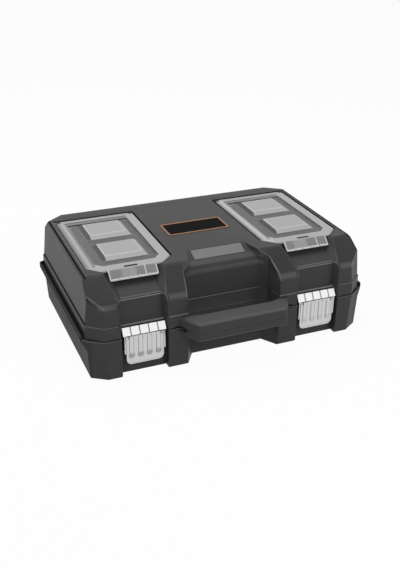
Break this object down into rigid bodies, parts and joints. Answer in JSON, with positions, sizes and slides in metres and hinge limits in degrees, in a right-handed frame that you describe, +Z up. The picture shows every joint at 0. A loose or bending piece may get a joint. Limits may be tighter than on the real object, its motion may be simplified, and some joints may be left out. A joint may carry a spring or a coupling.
{
  "type": "tool case",
  "caption": "Shallow moulded tool case with a hinged lid, clear-covered organiser wells in the lid, a split carrying handle and sheet-steel draw latches.",
  "frame": {"origin": "on the floor, below the middle of the whole part, handle and hinges included", "axes": "+X along the case's width, to the right seen from the front; +Y from the handle to the hinges; +Z up"},
  "size_m": [0.404, 0.298, 0.1332],
  "materials": {
    "case_plastic": "fine moulded grain, satin",
    "tray_plastic": "smooth moulded, satin",
    "cover_plastic": "frosted translucent",
    "thumb_pad": "fine grain, matt",
    "label_frame": "copper-coloured print, satin",
    "label_plate": "smooth black, satin",
    "latch_steel": "bright zinc-plated sheet",
    "pin_steel": "drawn wire, plain"
  },
  "bodies": {
    "base": {"base_shell": "case_plastic", "lid_hinge_pin_left": "pin_steel", "latch_bracket_left": "latch_steel", "bracket_rivets_left": "pin_steel", "lever_pin_left": "pin_steel", "lid_hinge_pin_right": "pin_steel", "latch_bracket_right": "latch_steel", "bracket_rivets_right": "pin_steel", "lever_pin_right": "pin_steel"},
    "lid": {"lid_shell": "case_plastic", "label_frame": "label_frame", "label_plate": "label_plate", "thumb_pad": "thumb_pad", "organiser_tray_left": "tray_plastic", "organiser_divider_left": "tray_plastic", "cover_hinge_pin_left": "pin_steel", "organiser_tray_right": "tray_plastic", "organiser_divider_right": "tray_plastic", "cover_hinge_pin_right": "pin_steel"},
    "cover_left": {"organiser_cover_left": "cover_plastic"},
    "lever_left": {"latch_lever_left": "latch_steel", "bail_pins_left": "pin_steel"},
    "bail_left": {"latch_bail_left": "latch_steel"},
    "cover_right": {"organiser_cover_right": "cover_plastic"},
    "lever_right": {"latch_lever_right": "latch_steel", "bail_pins_right": "pin_steel"},
    "bail_right": {"latch_bail_right": "latch_steel"}
  },
  "joints": [
    {"name": "lid_hinge", "type": "hinge", "parent": "base", "child": "lid", "pos_m": [0, 0.1445, 0.058], "axis": [-1, 0, 0], "range_deg": [0, 100]},
    {"name": "cover_hinge_left", "type": "hinge", "parent": "lid", "child": "cover_left", "pos_m": [-0.1225, 0.1, 0.1279], "axis": [-1, 0, 0], "range_deg": [0, 100]},
    {"name": "lever_pivot_left", "type": "hinge", "parent": "base", "child": "lever_left", "pos_m": [-0.123, -0.116, 0.0536], "axis": [-1, 0, 0], "range_deg": [0, 150]},
    {"name": "bail_pivot_left", "type": "hinge", "parent": "lever_left", "child": "bail_left", "pos_m": [-0.123, -0.1168, 0.035], "axis": [-1, 0, 0], "range_deg": [-172.5, 0]},
    {"name": "cover_hinge_right", "type": "hinge", "parent": "lid", "child": "cover_right", "pos_m": [0.1225, 0.1, 0.1279], "axis": [-1, 0, 0], "range_deg": [0, 100]},
    {"name": "lever_pivot_right", "type": "hinge", "parent": "base", "child": "lever_right", "pos_m": [0.123, -0.116, 0.0536], "axis": [-1, 0, 0], "range_deg": [0, 150]},
    {"name": "bail_pivot_right", "type": "hinge", "parent": "lever_right", "child": "bail_right", "pos_m": [0.123, -0.1168, 0.035], "axis": [-1, 0, 0], "range_deg": [-172.5, 0]}
  ],
  "couplings": [
    {"joint": "bail_pivot_left", "follows": "lever_pivot_left", "ratio": -1.15},
    {"joint": "bail_pivot_right", "follows": "lever_pivot_right", "ratio": -1.15}
  ]
}
